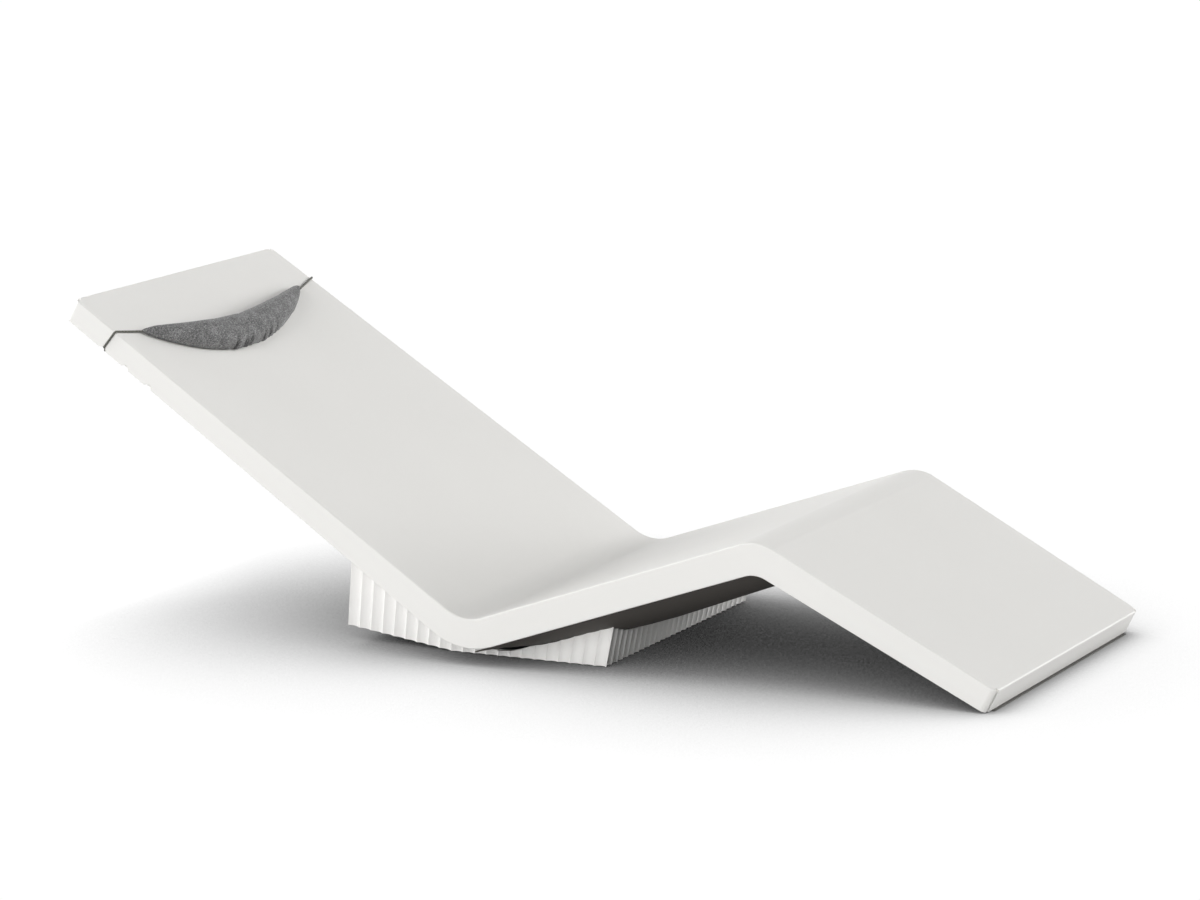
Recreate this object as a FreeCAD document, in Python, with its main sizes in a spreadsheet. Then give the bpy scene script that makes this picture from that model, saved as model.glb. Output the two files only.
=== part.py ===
"""Spa relaxation lounger: a bent, tapered slab on a fluted base, with a head pillow on an elastic cord.

Frame: millimetres, +Z up, floor at Z = 0, X from the head end towards the foot end, Y across the
lounger towards the user's left. The origin is on the floor, under the middle of the whole length.
"""
import FreeCAD, Part
import math
import os

from FreeCAD import Vector

DOC = FreeCAD.newDocument("SpaLounger")

# Driving dimensions in millimetres, angles in degrees.
DIMENSIONS = {
    # Upper line of the slab, seen from the side.
    "back_length": 997.0,
    "seat_length": 616.0,
    "back_angle": 33.1,
    "seat_angle": 18.3,
    "calf_angle": 27.9,
    "hip_height": 79.7,
    # Thickness and width of the slab at its stations.
    "head_thickness": 46.4,
    "hip_thickness": 55.0,
    "knee_thickness": 56.4,
    "foot_thickness": 46.9,
    "head_width": 653.0,
    "hip_width": 702.0,
    "foot_width": 621.0,
    # Bends and rounded edges.
    "hip_top_radius": 85.0,
    "hip_under_radius": 140.0,
    "knee_top_radius": 80.0,
    "knee_under_radius": 50.0,
    "plan_blend_radius": 1600.0,
    "end_corner_radius": 12.0,
    "top_edge_radius": 3.0,
    "under_edge_radius": 2.0,
    # Panels of the slab.
    "skin_thickness": 12.0,
    "side_thickness": 18.0,
    "end_thickness": 18.0,
    "underpan_thickness": 8.0,
    "slot_inset": 5.5,
    "skin_slot_depth": 6.0,
    "pan_joint_gap": 1.0,
    # Cord notches in the lower edges of the side panels.
    "first_notch": 101.0,
    "notch_pitch": 60.0,
    "notch_head_run": 13.4,
    "notch_foot_run": 6.5,
    "notch_rise": 10.4,
    "notch_depth": 10.0,
    # Belly under the seat and the calf rest.
    "belly_drop": 57.0,
    "belly_wall": 6.0,
    "belly_inset": 2.0,
    "belly_lip": 1.5,
    # Steel frame inside the slab.
    "rail_width": 50.0,
    "rail_thickness": 10.0,
    "rail_spacing": 300.0,
    "rail_end_margin": 70.0,
    "crossbar_width": 40.0,
    # Fluted base.
    "base_front": 243.6,
    "base_floor_back": 78.0,
    "base_rear": 304.6,
    "base_side_margin": 83.0,
    "base_rear_rise_angle": 7.6,
    "base_front_lean": 14.0,
    "base_rear_lean": 6.8,
    "base_block_height": 280.0,
    "base_wall": 14.0,
    "flute_depth": 4.0,
    "back_wall_gap": 8.0,
    "seat_wall_gap": 24.2,
    "wall_hip_radius": 120.0,
    # Floor plate, brackets and their fixings.
    "glide_height": 2.0,
    "glide_radius": 20.0,
    "glide_stem_radius": 5.0,
    "glide_stem_length": 16.0,
    "nut_across_flats": 16.0,
    "nut_thickness": 8.0,
    "floor_plate_thickness": 6.0,
    "floor_plate_margin": 4.0,
    "glide_edge_distance": 45.0,
    "bracket_thickness": 8.0,
    "bracket_flange": 42.0,
    "bracket_flange_thickness": 6.0,
    "bracket_front_margin": 60.0,
    "bracket_rear_margin": 50.0,
    "bolt_radius": 4.0,
    "bolt_head_flats": 13.0,
    "bolt_head_height": 5.5,
    "bolt_inset": 40.0,
    "web_thickness": 6.0,
    # Rubber strip under the foot end.
    "strip_height": 2.0,
    "strip_width": 11.0,
    "strip_end_margin": 6.0,
    # Pillow and its cord.
    "pillow_length": 536.0,
    "pillow_tip_offset": 127.0,
    "pillow_sag": 72.0,
    "pillow_width": 78.0,
    "pillow_crown": 40.0,
    "pillow_tip_width": 10.0,
    "pillow_tip_crown": 7.0,
    "soft_clearance": 0.3,
    "cord_diameter": 4.0,
    "cord_bend_radius": 4.2,
    "cord_tuck": 12.0,
    "cord_tip_shift": 3.6,
    "cord_tip_rise": 1.5,
    "cord_wall_clearance": 0.9,
    "cord_apex_drop": 3.9,
    "cord_pocket_fall": 1.5,
    "cord_apex_shift": 0.63,
    "cord_edge_shift": 7.0,
}

# Counts.
NOTCH_COUNT = 3
SIDE_FLUTES = 22
END_FLUTES = 27

# Stations of the belly: shares of the seat's lower line, and shares of the full drop there.
SEAT_STATION_SHARES = (0.03, 0.11, 0.19, 0.31, 0.457, 0.56, 0.84, 1.06)
SEAT_DROP_SHARES = (0.20, 0.53, 0.81, 0.885, 1.0, 1.0, 0.89, 0.80)
CALF_STATION_SHARES = (-0.07, 0.0, 0.25, 0.5, 0.72, 0.88)
CALF_DROP_SHARES = (0.84, 0.82, 0.66, 0.44, 0.22, 0.05)

# Points across the belly's section and across its hollow, as shares of half its width.
BELLY_POINT_SHARES = (0.25, 0.5, 0.7, 0.85, 0.94, 1.0)
POCKET_POINT_SHARES = (0.7, 1.0)
BELLY_ROUNDING_COUNT = 4

# Number of belly stations before the hollow begins, counted from the hip or the knee.
SEAT_POCKET_COUNT = 1
CALF_POCKET_COUNT = 1

# Positions of the crossbars as shares of the back, the seat and the calf rest.
BACK_BAR_SHARES = (0.2, 0.55)
SEAT_BAR_SHARES = (0.3, 0.75)
CALF_BAR_SHARES = (0.35, 0.75)

# Pillow stations as shares of half its length.
PILLOW_STATION_SHARES = (0.0, 0.16, 0.31, 0.45, 0.57, 0.68, 0.77, 0.85, 0.92, 0.97, 1.0)
PILLOW_SEAM_SHARE = 0.08
PILLOW_SIDE_SHARE = 0.55
PILLOW_SHOULDER_SHARE = 0.17
PILLOW_BULGE_SHARE = 0.02

# Flat left between two flutes as a share of their pitch.
RIDGE_SHARE = 0.02

# A face of the slab is a broad one where its upright share of the normal is over this.
BROAD_FACE_SHARE = 0.75


def make_sheet(document, values):
    """Write the driving dimensions to a sheet, one aliased cell each."""
    sheet = document.addObject("Spreadsheet::Sheet", "Dimensions")
    for row, (name, value) in enumerate(values.items(), start=1):
        sheet.set(f"A{row}", name)
        sheet.set(f"B{row}", str(value))
        sheet.setAlias(f"B{row}", name)
    document.recompute()
    return sheet


SHEET = make_sheet(DOC, DIMENSIONS)


def mm(name):
    """Read one driving dimension from the sheet."""
    return float(getattr(SHEET, name))


def radians(name):
    """Read one driving angle from the sheet, in radians."""
    return math.radians(mm(name))


# Helpers for outlines.


def corner_arc(before, corner, after, radius):
    """Return the start, middle and end points of the arc that rounds one corner."""
    back = (before - corner).normalize()
    ahead = (after - corner).normalize()
    half_angle = back.getAngle(ahead) / 2
    reach = radius / math.tan(half_angle)
    centre_way = (back + ahead).normalize()
    centre = corner + centre_way * (radius / math.sin(half_angle))
    return corner + back * reach, centre - centre_way * radius, corner + ahead * reach


def rounded_edges(points, radii, closed=True):
    """Return the edges of a line through points, with a radius (or 0) at each of them."""
    count = len(points)
    stops = []
    for index, point in enumerate(points):
        if radii[index]:
            stops.append(corner_arc(points[index - 1], point, points[(index + 1) % count], radii[index]))
        else:
            stops.append((point, None, point))
    edges = []
    for index, (start, middle, end) in enumerate(stops):
        if middle is not None:
            edges.append(Part.Arc(start, middle, end).toShape())
        if closed or index < count - 1:
            following = stops[(index + 1) % count][0]
            edges.append(Part.LineSegment(end, following).toShape())
    return edges


def rounded_face(points, radii):
    """Return the face inside a closed line with rounded corners."""
    return Part.Face(Part.Wire(rounded_edges(points, radii)))


def across(face, width):
    """Extrude a face that lies in the XZ plane by width, centred on Y = 0."""
    solid = face.extrude(Vector(0, width, 0))
    solid.translate(Vector(0, -width / 2, 0))
    return solid


def one_solid(shape):
    """Return the only solid of a shape."""
    if len(shape.Solids) != 1:
        raise ValueError(f"expected one solid, found {len(shape.Solids)}")
    return shape.Solids[0]


# Side view of the slab. Every point is (X, Z) as a Vector with Y = 0.


class SideView:
    """Upper and lower lines of the slab, worked out from the driving dimensions."""

    def __init__(self):
        back, seat, calf = (radians(name) for name in ("back_angle", "seat_angle", "calf_angle"))
        self.ways = (
            Vector(math.cos(back), 0, -math.sin(back)),
            Vector(math.cos(seat), 0, math.sin(seat)),
            Vector(math.cos(calf), 0, -math.sin(calf)),
        )
        self.downs = tuple(Vector(way.z, 0, -way.x) for way in self.ways)
        self.thicknesses = [mm(f"{place}_thickness") for place in ("head", "hip", "knee", "foot")]
        hip = Vector(0, 0, mm("hip_height"))
        head = hip - self.ways[0] * mm("back_length")
        knee = hip + self.ways[1] * mm("seat_length")
        # The calf rest ends where its lower corner reaches the floor.
        calf_drop = knee.z - mm("foot_thickness") * math.cos(calf)
        foot = knee + self.ways[2] * (calf_drop / math.sin(calf))
        head_low = head + self.downs[0] * self.thicknesses[0]
        shift = Vector(-(head_low.x + foot.x) / 2, 0, 0)
        self.top = [point + shift for point in (head, hip, knee, foot)]

    @property
    def hip_x(self):
        """X of the hip corner of the upper line."""
        return self.top[1].x

    def offset_line(self, depths):
        """Return the four corners of a line at the given depths below the upper line."""
        segments = []
        for index in range(3):
            start = self.top[index] + self.downs[index] * depths[index]
            end = self.top[index + 1] + self.downs[index] * depths[index + 1]
            segments.append((start, end))
        return [
            segments[0][0],
            crossing(segments[0], segments[1]),
            crossing(segments[1], segments[2]),
            segments[2][1],
        ]

    def below_top(self, depth):
        """Return the line at one depth below the upper line."""
        return self.offset_line([depth] * 4)

    def above_bottom(self, height):
        """Return the line at one height above the lower line."""
        return self.offset_line([thickness - height for thickness in self.thicknesses])


def crossing(first, second):
    """Return where two lines of the side view cross."""
    way = first[1] - first[0]
    other = second[1] - second[0]
    gap = second[0] - first[0]
    share = (gap.x * other.z - gap.z * other.x) / (way.x * other.z - way.z * other.x)
    return first[0] + way * share


VIEW = SideView()


def bend_radii(depth_from_top):
    """Return the hip and knee radii of a line inside the slab."""
    hip_step = (mm("hip_under_radius") - mm("hip_top_radius")) / mm("hip_thickness")
    knee_step = (mm("knee_under_radius") - mm("knee_top_radius")) / mm("knee_thickness")
    return mm("hip_top_radius") + hip_step * depth_from_top, mm("knee_top_radius") + knee_step * depth_from_top


def lengthened(line, reach):
    """Return a line whose first and last points are moved outwards by reach."""
    first = line[0] + (line[0] - line[1]).normalize() * reach
    last = line[-1] + (line[-1] - line[-2]).normalize() * reach
    return [first, *line[1:-1], last]


def band(upper, upper_depth, lower, lower_depth):
    """Return the face between two bent lines, whose depths below the upper line set their radii."""
    upper_radii = [0, *bend_radii(upper_depth), 0]
    lower_radii = [0, *bend_radii(lower_depth), 0]
    return rounded_face([*upper, *reversed(lower)], [*upper_radii, *reversed(lower_radii)])


def plan_block(inset):
    """Return a tall block with the slab's outline from above, drawn in by inset."""
    spare = mm("hip_thickness")
    tall = VIEW.top[0].z + 2 * spare
    stations = [
        (VIEW.top[0].x, mm("head_width") / 2 - inset),
        (VIEW.hip_x, mm("hip_width") / 2 - inset),
        (VIEW.top[3].x, mm("foot_width") / 2 - inset),
    ]
    line = [Vector(x, -half, 0) for x, half in stations]
    line = lengthened(line, 2 * spare)
    mirrored = [Vector(point.x, -point.y, 0) for point in reversed(line)]
    radius = mm("plan_blend_radius")
    block = rounded_face([*line, *mirrored], [0, radius, 0] * 2).extrude(Vector(0, 0, tall))
    block.translate(Vector(0, 0, -spare))
    return block


def half_width_at(x):
    """Return half the slab's width at X, without the blends."""
    stations = [(VIEW.top[0].x, "head"), (VIEW.hip_x, "hip"), (VIEW.top[3].x, "foot")]
    for (x_from, place_from), (x_to, place_to) in zip(stations, stations[1:]):
        if x <= x_to or place_to == "foot":
            share = (x - x_from) / (x_to - x_from)
            width_from, width_to = mm(f"{place_from}_width"), mm(f"{place_to}_width")
            return (width_from + share * (width_to - width_from)) / 2
    raise ValueError("X is outside the slab")


def outline_edges(solid, upwards):
    """Return the edges round a solid's upper or lower broad faces."""
    faces = []
    for face in solid.Faces:
        u_from, u_to, v_from, v_to = face.ParameterRange
        normal = face.normalAt((u_from + u_to) / 2, (v_from + v_to) / 2)
        if abs(normal.z) > BROAD_FACE_SHARE and (normal.z > 0) == upwards:
            faces.append(face)
    edges = [edge for face in faces for edge in face.Edges]
    return [edge for edge in edges if sum(edge.isSame(other) for other in edges) == 1]


def end_corner_edges(solid):
    """Return the four short upright edges at the corners of the slab's ends."""
    chosen = []
    for edge in solid.Edges:
        chord = edge.valueAt(edge.LastParameter) - edge.valueAt(edge.FirstParameter)
        middle = edge.CenterOfMass
        at_end = middle.x < VIEW.top[0].x + 1 or middle.x > VIEW.top[3].x - mm("foot_thickness")
        if at_end and abs(middle.y) > mm("foot_width") / 4 and abs(chord.y) < mm("notch_depth") and chord.Length > 1:
            chosen.append(edge)
    return chosen


def make_slab():
    """Return the whole slab with its bends, its rounded end corners and its softened edges."""
    bottom = VIEW.above_bottom(0)
    face = band(VIEW.top, 0, bottom, mm("hip_thickness"))
    blank = DOC.addObject("Part::Feature", "slab_blank")
    blank.Shape = one_solid(across(face, 2 * mm("hip_width")).common(plan_block(0)))
    groups = (
        (end_corner_edges(blank.Shape), mm("end_corner_radius")),
        (outline_edges(blank.Shape, True), mm("top_edge_radius")),
        (outline_edges(blank.Shape, False), mm("under_edge_radius")),
    )
    rounded = DOC.addObject("Part::Fillet", "slab_rounded")
    rounded.Base = blank
    table = []
    for index, edge in enumerate(blank.Shape.Edges, start=1):
        for edges, radius in groups:
            if any(edge.isSame(other) for other in edges):
                table.append((index, radius, radius))
    rounded.Edges = table
    DOC.recompute()
    # The foot end is cut level where its rubber strip goes.
    reach = mm("back_length")
    floor_block = Part.makeBox(reach, reach, mm("strip_height"), Vector(0, -reach / 2, 0))
    floor_block.translate(Vector(VIEW.top[3].x - reach / 2, 0, 0))
    return one_solid(rounded.Shape.cut(floor_block))


SLAB = make_slab()


def add_shape(name, shape):
    """Add one sub-part whose shape is made with solid operations."""
    feature = DOC.addObject("Part::Feature", name)
    feature.Label = name
    feature.Shape = shape
    return feature


def half_space(point, way):
    """Return a large block on the side of a plane that way points to; the plane runs along Y."""
    size = 4 * mm("back_length")
    block = Part.makeBox(size, size, size, Vector(0, -size / 2, -size / 2))
    turn = FreeCAD.Rotation(Vector(1, 0, 0), way)
    block.Placement = FreeCAD.Placement(point, turn).multiply(block.Placement)
    return block


# Panels of the slab.

SPARE = mm("hip_thickness")
SKIN_LINE = VIEW.below_top(mm("skin_thickness"))
PAN_LINE = VIEW.above_bottom(mm("underpan_thickness"))
END_PLANES = (
    (VIEW.top[0] + VIEW.ways[0] * mm("end_thickness"), VIEW.ways[0] * -1),
    (VIEW.top[3] - VIEW.ways[2] * mm("end_thickness"), VIEW.ways[2]),
)
SKIN_BAND = across(
    band(lengthened(VIEW.below_top(-SPARE / 4), SPARE), 0, lengthened(SKIN_LINE, SPARE), mm("skin_thickness")),
    2 * mm("hip_width"),
)
LOWER_SLAB = one_solid(SLAB.cut(SKIN_BAND))


def notch_cutter(side, index):
    """Return the block that cuts one V notch in a side panel; side is -1 or 1."""
    distance = mm("first_notch") + index * mm("notch_pitch")
    way, down = VIEW.ways[0], VIEW.downs[0]
    apex = VIEW.top[0] + way * distance + down * (back_thickness(distance) - mm("notch_rise"))
    # The flanks run on below the slab to twice the notch's height.
    head_corner = apex + (down * mm("notch_rise") - way * mm("notch_head_run")) * 2
    foot_corner = apex + (down * mm("notch_rise") + way * mm("notch_foot_run")) * 2
    wall = half_width_at(apex.x) - mm("notch_depth")
    face = Part.Face(Part.makePolygon([apex, foot_corner, head_corner, apex]))
    cutter = face.extrude(Vector(0, side * 4 * mm("notch_depth"), 0))
    cutter.translate(Vector(0, side * wall, 0))
    return cutter


def back_thickness(distance):
    """Return the slab's thickness at a distance from the head along the back."""
    share = distance / mm("back_length")
    return mm("head_thickness") + share * (mm("hip_thickness") - mm("head_thickness"))


def add_slab_panels():
    """Add the deck skin, the side and end panels and the three flat underpans."""
    slot_block = plan_block(mm("slot_inset"))
    end_block = plan_block(mm("end_corner_radius"))
    inner_block = plan_block(mm("side_thickness"))
    slot_ring = slot_block.cut(end_block)
    skin = SLAB.common(SKIN_BAND)
    ring = LOWER_SLAB.cut(inner_block)
    end_zones = []
    for plane, way in END_PLANES:
        slot_plane = plane + way * (mm("end_thickness") - mm("skin_slot_depth"))
        skin = skin.cut(slot_ring.common(half_space(slot_plane, way)))
        end_zones.append(half_space(plane, way))
        ring = ring.cut(slot_block.common(end_zones[-1]))
    add_shape("deck_skin", one_solid(skin))
    for label, side in (("right", -1), ("left", 1)):
        panel = [solid for solid in ring.Solids if solid.CenterOfMass.y * side > 0][0]
        for index in range(NOTCH_COUNT):
            panel = panel.cut(notch_cutter(side, index))
        add_shape(f"side_panel_{label}", one_solid(panel))
    inner = LOWER_SLAB.common(inner_block)
    for name, zone in zip(("head_end_panel", "foot_end_panel"), end_zones):
        add_shape(name, one_solid(LOWER_SLAB.common(end_block).common(zone)))
    low_line = VIEW.above_bottom(-SPARE / 4)
    pan_depth = mm("hip_thickness") - mm("underpan_thickness")
    pan_band = across(
        band(lengthened(PAN_LINE, SPARE), pan_depth, lengthened(low_line, SPARE), mm("hip_thickness")),
        2 * mm("hip_width"),
    )
    pan = inner.common(pan_band)
    pan = pan.cut(end_zones[0]).cut(end_zones[1])
    level = Vector(1, 0, 0)
    hip_joint = Vector(VIEW.hip_x - mm("base_floor_back"), 0, 0)
    knee_joint = Vector(VIEW.above_bottom(0)[2].x, 0, 0)
    gap = level * (mm("pan_joint_gap") / 2)
    add_shape("back_underpan", one_solid(pan.common(half_space(hip_joint - gap, level * -1))))
    middle = pan.common(half_space(hip_joint + gap, level)).common(half_space(knee_joint - gap, level * -1))
    add_shape("seat_underpan", one_solid(middle))
    add_shape("calf_underpan", one_solid(pan.common(half_space(knee_joint + gap, level))))


# Belly: a shallow shell under the seat and the calf rest.


def belly_section(centre, down, half, drop, point_shares):
    """Return one closed section of the belly or its hollow, square to the line that it follows."""
    rise = mm("skin_thickness")
    points = []
    for share in (*(-share for share in reversed(point_shares)), *point_shares):
        depth = mm("belly_lip") + (drop - mm("belly_lip")) * (1 - abs(share) ** BELLY_ROUNDING_COUNT)
        points.append(centre + Vector(0, half * share, 0) + down * depth)
    left, right = points[-1], points[0]
    upper = [left, left - down * rise, right - down * rise, right]
    if point_shares == POCKET_POINT_SHARES:
        return Part.makePolygon([*points, *upper[1:]])
    curve = Part.BSplineCurve()
    curve.interpolate(points)
    return Part.Wire([curve.toShape(), *Part.makePolygon(upper).Edges])


def belly_loft(segment, station_shares, drop_shares, wall):
    """Return the belly's block under one stretch of the slab, or the hollow inside its wall."""
    line = VIEW.above_bottom(0)
    start, end = line[segment], line[segment + 1]
    length = (end - start).Length
    way = (end - start).normalize()
    down = Vector(way.z, 0, -way.x)
    inset = mm("side_thickness") + mm("belly_inset") + wall
    sections = []
    for station_share, drop_share in zip(station_shares, drop_shares):
        centre = start + way * (station_share * length)
        half = half_width_at(centre.x) - inset
        drop = max(mm("belly_drop") * drop_share - wall, 2 * mm("belly_lip"))
        sections.append(belly_section(centre, down, half, drop, POCKET_POINT_SHARES if wall else BELLY_POINT_SHARES))
    return Part.makeLoft(sections, True, bool(wall))


def add_bellies():
    """Add the two belly shells, mitred where they meet under the knee, and return their outer blocks."""
    knee = VIEW.above_bottom(0)[2]
    mitre_way = (VIEW.ways[1] + VIEW.ways[2]).normalize()
    gap = mitre_way * (mm("pan_joint_gap") / 2)
    blocks = []
    for name, segment, stations, drops, first, plane, way in (
        ("seat_belly", 1, SEAT_STATION_SHARES, SEAT_DROP_SHARES, SEAT_POCKET_COUNT, knee - gap, mitre_way * -1),
        ("calf_belly", 2, CALF_STATION_SHARES, CALF_DROP_SHARES, CALF_POCKET_COUNT, knee + gap, mitre_way),
    ):
        keep = half_space(plane, way)
        outer = one_solid(belly_loft(segment, stations, drops, 0).common(keep).cut(SLAB))
        pocket = belly_loft(segment, stations[first:-1], drops[first:-1], mm("belly_wall"))
        pocket = pocket.common(half_space(plane + way * mm("belly_wall"), way))
        add_shape(name, one_solid(outer.cut(pocket)))
        blocks.append(outer)
    return blocks


# Steel frame inside the slab.


def add_body(name):
    """Add an empty solid body with its own label."""
    body = DOC.addObject("PartDesign::Body", name)
    body.Label = name
    return body


def origin_plane(body, role):
    """Return one of a body's own origin planes."""
    return next(feature for feature in body.Origin.OriginFeatures if feature.Role == role)


def add_sketch(body, name, role):
    """Add a sketch on one of the body's origin planes."""
    sketch = body.newObject("Sketcher::SketchObject", name)
    sketch.AttachmentSupport = [(origin_plane(body, role), "")]
    sketch.MapMode = "FlatFace"
    return sketch


def sketch_side_outline(sketch, points, radii):
    """Draw a rounded outline of the side view in a sketch on the XZ plane."""
    flat = [Vector(point.x, point.z, 0) for point in points]
    for edge in rounded_edges(flat, radii):
        curve = edge.Curve
        start, end = edge.valueAt(edge.FirstParameter), edge.valueAt(edge.LastParameter)
        if isinstance(curve, Part.Line):
            sketch.addGeometry(Part.LineSegment(start, end))
        else:
            middle = edge.valueAt((edge.FirstParameter + edge.LastParameter) / 2)
            sketch.addGeometry(Part.Arc(start, middle, end))


def trimmed(line, margin):
    """Return a line whose first and last points are moved inwards by margin."""
    return lengthened(line, -margin)


def add_frame():
    """Add the two bent rails and the crossbars between them."""
    top_depth = mm("skin_thickness")
    low_depth = top_depth + mm("rail_thickness")
    upper = trimmed(VIEW.below_top(top_depth), mm("rail_end_margin"))
    lower = trimmed(VIEW.below_top(low_depth), mm("rail_end_margin"))
    radii = [0, *bend_radii(top_depth), 0, 0, *reversed(bend_radii(low_depth)), 0]
    for label, side in (("right", -1), ("left", 1)):
        body = add_body(f"frame_rail_{label}")
        sketch = add_sketch(body, f"rail_{label}_outline", "XZ_Plane")
        sketch_side_outline(sketch, [*upper, *reversed(lower)], radii)
        pad = body.newObject("PartDesign::Pad", f"rail_{label}_bar")
        pad.Profile = sketch
        pad.Midplane = True
        pad.setExpression("Length", "Dimensions.rail_width")
        body.Placement = FreeCAD.Placement(Vector(0, side * mm("rail_spacing") / 2, 0), FreeCAD.Rotation())
    bars = []
    lengths = [(VIEW.top[index + 1] - VIEW.top[index]).Length for index in range(3)]
    for segment, shares in enumerate((BACK_BAR_SHARES, SEAT_BAR_SHARES, CALF_BAR_SHARES)):
        for share in shares:
            centre = VIEW.top[segment] + VIEW.ways[segment] * (share * lengths[segment])
            bar = DOC.addObject("Part::Box", f"crossbar_{len(bars) + 1}")
            bar.setExpression("Length", "Dimensions.crossbar_width")
            bar.setExpression("Width", "Dimensions.rail_spacing - Dimensions.rail_width")
            bar.setExpression("Height", "Dimensions.rail_thickness")
            corner = centre + VIEW.downs[segment] * low_depth - VIEW.ways[segment] * (mm("crossbar_width") / 2)
            corner.y = -(mm("rail_spacing") - mm("rail_width")) / 2
            bar.Placement = FreeCAD.Placement(corner, FreeCAD.Rotation(Vector(1, 0, 0), VIEW.ways[segment]))
            bars.append(bar)
    group = DOC.addObject("Part::Compound", "frame_crossbars")
    group.Label = "frame_crossbars"
    group.Links = bars


# Fluted base.


BASE_WIDTH = mm("hip_width") - 2 * mm("base_side_margin")


def flute_cutters(low_from, low_to, high_from, high_to, outwards, count):
    """Return the cylinders that cut one wall's flutes; they fan out from its lower to its upper edge."""
    depth = mm("flute_depth")
    half_chord = (low_to - low_from).Length / count * (1 - RIDGE_SHARE) / 2
    radius = (half_chord ** 2 + depth ** 2) / (2 * depth)
    cutters = []
    for flute in range(count):
        share = (flute + 0.5) / count
        low = low_from + (low_to - low_from) * share + outwards * (radius - depth)
        high = high_from + (high_to - high_from) * share + outwards * (radius - depth)
        way = (high - low).normalize()
        length = (high - low).Length + 2 * radius
        cutters.append(Part.makeCylinder(radius, length, low - way * radius, way))
    return cutters


def base_outline(level, inset):
    """Return the four corners of the base at one level, drawn in by inset."""
    front = VIEW.hip_x + mm("base_front") + level * math.tan(radians("base_front_lean")) - inset
    rear = VIEW.hip_x - mm("base_rear") + level * math.tan(radians("base_rear_lean")) + inset
    half = BASE_WIDTH / 2 - inset
    return [
        Vector(rear, -half, level),
        Vector(front, -half, level),
        Vector(front, half, level),
        Vector(rear, half, level),
    ]


def closed_polygon(points):
    """Return a closed wire through points."""
    return Part.makePolygon([*points, points[0]])


def mitre_block(first, second):
    """Return the block between two corners of the base and its middle, for one of its four walls."""
    height = mm("base_block_height")
    levels = []
    for level in (0, height):
        outer = base_outline(level, -mm("base_wall"))
        inner = base_outline(level, BASE_WIDTH / 4)
        levels.append(closed_polygon([outer[first], outer[second], inner[second], inner[first]]))
    return Part.makeLoft(levels, True, True)


def base_floor_cutter():
    """Return what lies under the base: the glides' gap, and a slope that rises to the rear."""
    reach = mm("back_length")
    level = Part.makeBox(2 * reach, 2 * reach, reach, Vector(-reach, -reach, mm("glide_height") - reach))
    turning_point = Vector(VIEW.hip_x - mm("base_floor_back"), 0, mm("glide_height"))
    angle = radians("base_rear_rise_angle")
    rise = half_space(turning_point, Vector(-math.sin(angle), 0, -math.cos(angle)))
    behind = half_space(turning_point, Vector(-1, 0, 0))
    return level.fuse(rise.common(behind))


def above_line(line, radii):
    """Return the tall block over a bent line of the side view."""
    line = lengthened(line, SPARE)
    high = [point + Vector(0, 0, mm("back_length")) for point in line]
    face = rounded_face([*high, *reversed(line)], [0] * len(high) + [0, *reversed(radii), 0])
    return across(face, 2 * mm("hip_width"))


def wall_top_line():
    """Return the line of the walls' upper edges, a shadow gap below the slab."""
    low = VIEW.above_bottom(0)
    moved = []
    for index, gap in enumerate(("back_wall_gap", "seat_wall_gap", "seat_wall_gap")):
        drop = VIEW.downs[index] * mm(gap)
        moved.append((low[index] + drop, low[index + 1] + drop))
    return [moved[0][0], crossing(moved[0], moved[1]), crossing(moved[1], moved[2]), moved[2][1]]


def add_base_panels(bellies):
    """Add the four fluted walls, fitted a shadow gap below the slab and against the belly."""
    levels = (0, mm("base_block_height"))
    low, high = (base_outline(level, 0) for level in levels)
    block = Part.makeLoft([closed_polygon(low), closed_polygon(high)], True, True)
    hollow = Part.makeLoft([closed_polygon(base_outline(level, mm("base_wall"))) for level in levels], True, True)
    walls = block.cut(hollow).cut(base_floor_cutter())
    walls = walls.cut(above_line(wall_top_line(), [mm("wall_hip_radius")] * 2))
    for belly in bellies:
        walls = walls.cut(belly)
    for name, first, second, count in (
        ("base_panel_right", 0, 1, SIDE_FLUTES),
        ("base_panel_front", 1, 2, END_FLUTES),
        ("base_panel_left", 2, 3, SIDE_FLUTES),
        ("base_panel_rear", 3, 0, END_FLUTES),
    ):
        wall = max(walls.common(mitre_block(first, second)).Solids, key=lambda solid: solid.Volume)
        outwards = (low[second] - low[first]).cross(high[first] - low[first]).normalize()
        cutters = flute_cutters(low[first], low[second], high[first], high[second], outwards, count)
        add_shape(name, one_solid(wall.cut(cutters)))


def plate_corner(x_sign, y_sign):
    """Return the place of one glide, in from a corner of the floor plate."""
    margin = mm("base_wall") + mm("floor_plate_margin") + mm("glide_edge_distance")
    front = VIEW.hip_x + mm("base_front") - margin
    rear = VIEW.hip_x - mm("base_floor_back") + mm("glide_edge_distance")
    return Vector(front if x_sign > 0 else rear, y_sign * (BASE_WIDTH / 2 - margin), 0)


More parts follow.
